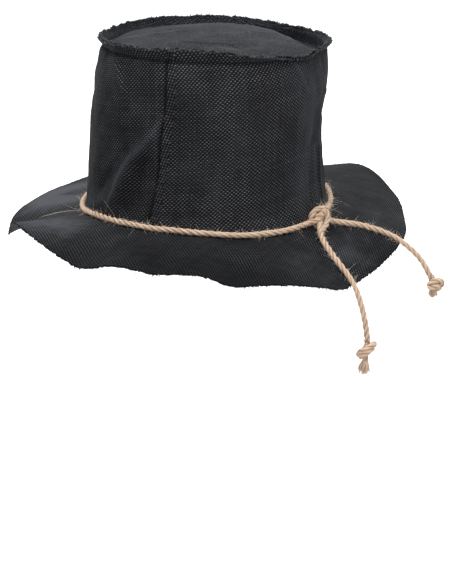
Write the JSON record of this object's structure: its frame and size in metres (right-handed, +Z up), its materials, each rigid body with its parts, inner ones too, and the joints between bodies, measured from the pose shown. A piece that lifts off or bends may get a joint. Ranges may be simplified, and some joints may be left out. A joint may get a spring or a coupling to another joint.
{
  "type": "scarecrow costume hat",
  "caption": "Tall soft sackcloth hat with a wavy raw-edged brim and a jute cord knotted round the crown with two loose ends.",
  "frame": {"origin": "centre of the head opening at the crown's foot, where the head holds the hat", "axes": "+Z up through the crown, -Y towards the front of the hat as pictured, +X to the right as pictured; the head leaves along -Z"},
  "size_m": [0.3494, 0.3249, 0.2358],
  "materials": {
    "crown_cloth": "coarse plain weave, matt",
    "tip_cloth": "coarse plain weave, matt",
    "brim_cloth": "coarse plain weave, matt, frayed edge",
    "jute_cord": "three-strand twisted jute, hairy"
  },
  "bodies": {
    "root": {"crown_side": "crown_cloth", "crown_tip": "tip_cloth", "brim": "brim_cloth", "band_cord": "jute_cord", "band_knot": "jute_cord", "tail_cord_front": "jute_cord", "tail_cord_right": "jute_cord", "end_knot_front": "jute_cord", "end_knot_right": "jute_cord"}
  },
  "joints": []
}
